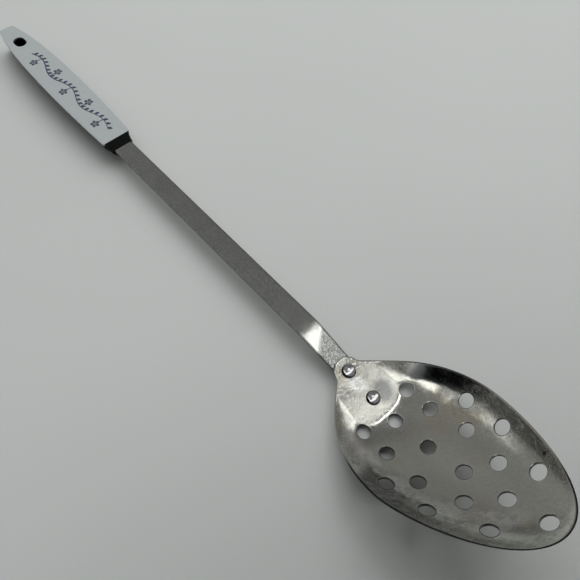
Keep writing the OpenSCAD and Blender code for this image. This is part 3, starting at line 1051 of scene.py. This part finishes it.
def belly_curve(half, side_z, low):
    """Half section of the body's underside, from its flat middle up to its widest line."""
    flat = 0.3 * half
    side = side_z - low
    return bezier([
        (flat, low), (flat + 0.5 * (half - flat), low),
        (half - 0.12 * side, side_z - 0.45 * side), (half, side_z)], 24)


def make_body(material):
    """The black grip, from one sheet whose lower layer is drawn down to the belly."""
    table = np.array(body_rows())
    stations = table[:, AT]

    def at(x, column):
        return float(np.interp(x, stations, table[:, column]))

    bm = lay_grid(stations, dense_shares(30))
    for vert in bm.verts:
        vert.co.y *= table[int(np.abs(stations - vert.co.x).argmin()), TOP_HALF]
    pierce(bm, HANG, clear=0.55, ring=0.8)
    under = thicken(bm)
    for vert in under:
        x, y = vert.co.xy
        half, side_z = at(x, WIDE_HALF), at(x, WIDE_Z)
        wide_y = y * half / at(x, TOP_HALF)
        curve = belly_curve(half, side_z, at(x, LOW_Z))
        vert.co = (x, wide_y, min(follow(curve, abs(wide_y)), side_z))
    below = set(under)
    for vert in bm.verts:
        if vert not in below:
            vert.co.z = at(vert.co.x, TOP_Z)
    bmesh.ops.recalc_face_normals(bm, faces=bm.faces)
    round_edges(bm, steep_edges(bm, 40), BODY_ROUND)
    set_down(bm, "handle_grip", material, "handle_black", "handle_body")


# Print on the facing

VINE_REAR, VINE_FRONT = 30, 7
VINE_WAVES, VINE_SWING, VINE_W = 2.5, 1.9, 0.7
LEAF_L, LEAF_W, LEAF_LEAN = 2.7, 1.6, math.radians(52)
BLOSSOM_W, BLOSSOM_Y, STALK_W = 4.6, 2.9, 0.55
INK_SINK, INK_RISE = 0.05, 0.02


def add_leaf(bm, x, y, length, width, turn):
    """A flat pointed oval, its near end at the given place."""
    made = bmesh.ops.create_circle(bm, cap_ends=True, segments=16, radius=1)["verts"]
    for vert in made:
        along, across = vert.co.xy
        across *= math.sqrt(max(0.0, 1 - abs(along) ** 3)) if abs(across) > 0.3 else 1
        vert.co.xy = ((along + 1) * length / 2, across * width / 2)
    bmesh.ops.rotate(bm, cent=(0, 0, 0), matrix=Matrix.Rotation(turn, 3, "Z"), verts=made)
    bmesh.ops.translate(bm, vec=(x, y, 0), verts=made)


def add_stem(bm, points, width):
    """A thin flat stroke along a row of points."""
    points = np.asarray(points)
    along = np.gradient(points, axis=0)
    side = np.stack([-along[:, 1], along[:, 0]], 1)
    side /= np.linalg.norm(side, axis=1)[:, None]
    taper = width / 2 * np.linspace(1, 0.55, len(points))[:, None]
    left = [bm.verts.new((*p, 0)) for p in points + side * taper]
    right = [bm.verts.new((*p, 0)) for p in points - side * taper]
    for k in range(len(points) - 1):
        bm.faces.new((left[k], right[k], right[k + 1], left[k + 1]))


def add_blossom(bm, x, y, size, turn):
    """Five petals round a small disc."""
    near = 0.12 * size
    for k in range(5):
        heading = turn + k * 2 * math.pi / 5
        add_leaf(bm, x + near * math.cos(heading), y + near * math.sin(heading),
                 0.42 * size, 0.36 * size, heading)
    middle = bmesh.ops.create_circle(bm, cap_ends=True, segments=12, radius=0.1 * size)["verts"]
    bmesh.ops.translate(bm, vec=(x, y, 0), verts=middle)


def make_print(material):
    """A winding vine with leaves and blossoms, a common border pattern."""
    bm = bmesh.new()
    steps = 100
    turns = np.linspace(0, VINE_WAVES * 2 * math.pi, steps + 1)
    places = np.linspace(END_X + VINE_REAR, FACING_X - VINE_FRONT, steps + 1)
    vine = np.stack([places, VINE_SWING * np.sin(turns)], 1)
    add_stem(bm, vine, VINE_W)
    for k in range(2, steps, 4):
        heading = math.atan2(*(vine[k + 1] - vine[k - 1])[::-1])
        lean = LEAF_LEAN * (1 if k % 8 else -1)
        add_leaf(bm, *vine[k], LEAF_L, LEAF_W, heading + lean)
    for k in range(5):
        x, y = vine[10 + 20 * k]
        side = -1 if y > 0 else 1
        add_blossom(bm, x, side * BLOSSOM_Y, BLOSSOM_W, 0.5 + 0.6 * k)
        stalk_y = side * VINE_SWING
        add_stem(bm, [(x, y), (x, (y + stalk_y) / 2), (x, stalk_y)], STALK_W)
    bmesh.ops.subdivide_edges(bm, edges=[e for e in bm.edges if e.calc_length() > 1.2], cuts=1)
    for vert in thicken(bm):
        vert.co.z = -INK_SINK
    for vert in bm.verts:
        vert.co.z += float(arch_z(vert.co.x)) + INK_RISE
    set_down(bm, "handle_print", material, "facing_pale")


# Floor, light and camera

def flat_object(name, material, centre, size):
    """A flat sheet, its centre and size in metres."""
    bm = bmesh.new()
    bmesh.ops.create_grid(bm, x_segments=2, y_segments=2, size=0.5)
    bmesh.ops.scale(bm, vec=(*size, 1), verts=bm.verts)
    bmesh.ops.translate(bm, vec=centre, verts=bm.verts)
    return add_object(bm, name, material)


def make_floor(material):
    """The table top, a tenth of a millimetre down so that nothing shares its plane."""
    floor = flat_object("floor", material, (0, 0, -0.0001), (6, 6))


def make_card(material, centre, size):
    """A card over the bowl's end of the table, whose soft shade falls on the floor."""
    card = flat_object("shade_card", material, centre, size)
    card.visible_camera = False
    card.visible_glossy = False


def make_panel(name, place, aim, size, power):
    """A soft lamp at a place, that faces the aim."""
    light = bpy.data.lights.new(name, "AREA")
    light.shape = "RECTANGLE"
    light.size, light.size_y = size
    light.energy = power
    lamp = bpy.data.objects.new(name, light)
    lamp.location = place
    heading = Vector(place) - Vector(aim)
    lamp.rotation_euler = heading.to_track_quat("Z", "Y").to_euler()
    lamp.visible_glossy = False
    bpy.context.scene.collection.objects.link(lamp)


def make_surroundings():
    """An even pale room, and for the steel to show: a mid grey ceiling with one long lamp, three
    short ones, a dim patch, and a dark end behind the camera.

    Numbers beside across and along are places on that ceiling, in units of its height.
    """
    world = bpy.data.worlds.new("studio")
    bpy.context.scene.world = world
    world.use_nodes = True
    look = Look(world.node_tree)
    way = look.node("ShaderNodeTexCoord", out="Generated")
    x, y, z = (look.axis(way, letter) for letter in "XYZ")
    height = look.larger(z, 0.02)
    across, along = x / height, y / height

    def strip(value, low, high, soft):
        return look.window(value, low - soft, low + soft, high - soft, high + soft)

    bulge = strip(along, 0.42, 0.9, 0.1) + look.band(along, -0.35, -0.6)
    long_lamp = strip(across + 0.05 * bulge, 0.235, 0.55, 0.045) * strip(along, -1.1, 2.0, 0.2)
    near_lamp = strip(along, -0.76, -0.46, 0.05) * strip(across, -0.8, 0.2, 0.07)
    side_lamp = strip(along, -1.0, -0.66, 0.08) * strip(across, -2.3, -1.45, 0.15)
    spot_lamp = strip(across, 0.005, 0.08, 0.012) * strip(along, 0.22, 0.42, 0.05)
    lamps = 1.6 * long_lamp + 1.7 * near_lamp + 0.8 * side_lamp + 5.5 * spot_lamp

    edge = along - 0.15 * across + 0.35 * look.band(across, 0.08, 0.16)
    dark = look.band(edge, -0.77, -0.87) * look.band(across, -2.2, -1.2, 0.7, 0.97)
    dim = strip(across, -0.75, 0.08, 0.1) * look.band(along, 0.38, 0.5)
    low = look.band(along, 2.2, 4.5)
    drift = look.node("ShaderNodeTexNoise", {}, Vector=way, Scale=2.6, Detail=3.0, Roughness=0.5)
    ceiling = (0.145 + 0.2 * drift) * (1 - 0.33 * dim) * (1 - 0.3 * low)
    shown = (ceiling + lamps) * (1 - dark)

    # Dimmer where the steel shows it at second hand, and only for rays that no dull face sent
    shown = shown * look.band(look.ray("Glossy Depth"), 1.4, 1.6, 1.0, 0.55)
    direct = look.band(look.ray("Diffuse Depth"), 0.4, 0.6, 1.0, 0.0)
    mirrored = look.ray("Is Glossy Ray") * direct

    # What lights all else: strongest overhead, with more from +Y and less from +X
    overhead = 1.65 * height ** 2 * look.band(y, -0.1, -0.7, 1.0, 0.55)
    overhead = (overhead + 0.7 * look.band(y, 0.2, 0.8)) * look.band(x, 0.4, -0.3, 0.2, 1.0)
    camera = look.ray("Is Camera Ray")
    strength = camera * 0.5 + (1 - camera) * (mirrored * shown + (1 - mirrored) * overhead)
    background = next(n for n in world.node_tree.nodes if n.type == "BACKGROUND")
    look.feed(background, Color=(1, 1, 1, 1), Strength=strength)


# The photograph's camera as solved: heading, dip and roll in degrees, and place
HEADING, DIP, ROLL = 136.061, 60.559, -1.714
EYE = (136.12, -72.81, 211.228)
FOCAL_PIXELS, PHOTO_PIXELS, SENSOR = 539.8, 580, 36


def make_camera():
    heading, dip, roll = (math.radians(a) for a in (HEADING, DIP, ROLL))
    forward = Vector((
        math.cos(dip) * math.cos(heading), math.cos(dip) * math.sin(heading), -math.sin(dip)))
    right = Vector((math.sin(heading), -math.cos(heading), 0))
    down = forward.cross(right)
    across = math.cos(roll) * right + math.sin(roll) * down
    below = -math.sin(roll) * right + math.cos(roll) * down
    camera = bpy.data.cameras.new("camera")
    camera.sensor_width = SENSOR
    camera.lens = FOCAL_PIXELS / PHOTO_PIXELS * SENSOR
    camera.clip_start, camera.clip_end = 0.01, 20
    eye = bpy.data.objects.new("camera", camera)
    turn = Matrix((across, -below, -forward)).transposed()
    eye.matrix_world = Matrix.Translation(Vector(EYE) * MM) @ turn.to_4x4()
    bpy.context.scene.collection.objects.link(eye)
    bpy.context.scene.camera = eye


make_camera()
make_bowl(satin_steel())
make_strap(strap_steel())
rivets = rivet_steel()
make_rivet("rivet_rear", REAR_U, rivets, "rear_rivet")
make_rivet("rivet_front", FRONT_U, rivets, "front_rivet")
make_body(black_plastic())
make_facing(pale_plastic())
make_print(slate_ink())
make_floor(pale_floor())
make_panel("key_panel", place=(-0.25, 0.5, 0.8), aim=(0.05, 0.1, 0), size=(1.1, 0.9), power=5.4)
make_card(dark_card(), centre=(0.195, -0.05, 0.233), size=(0.24, 0.26))
make_surroundings()
bpy.context.scene.view_settings.view_transform = "Standard"
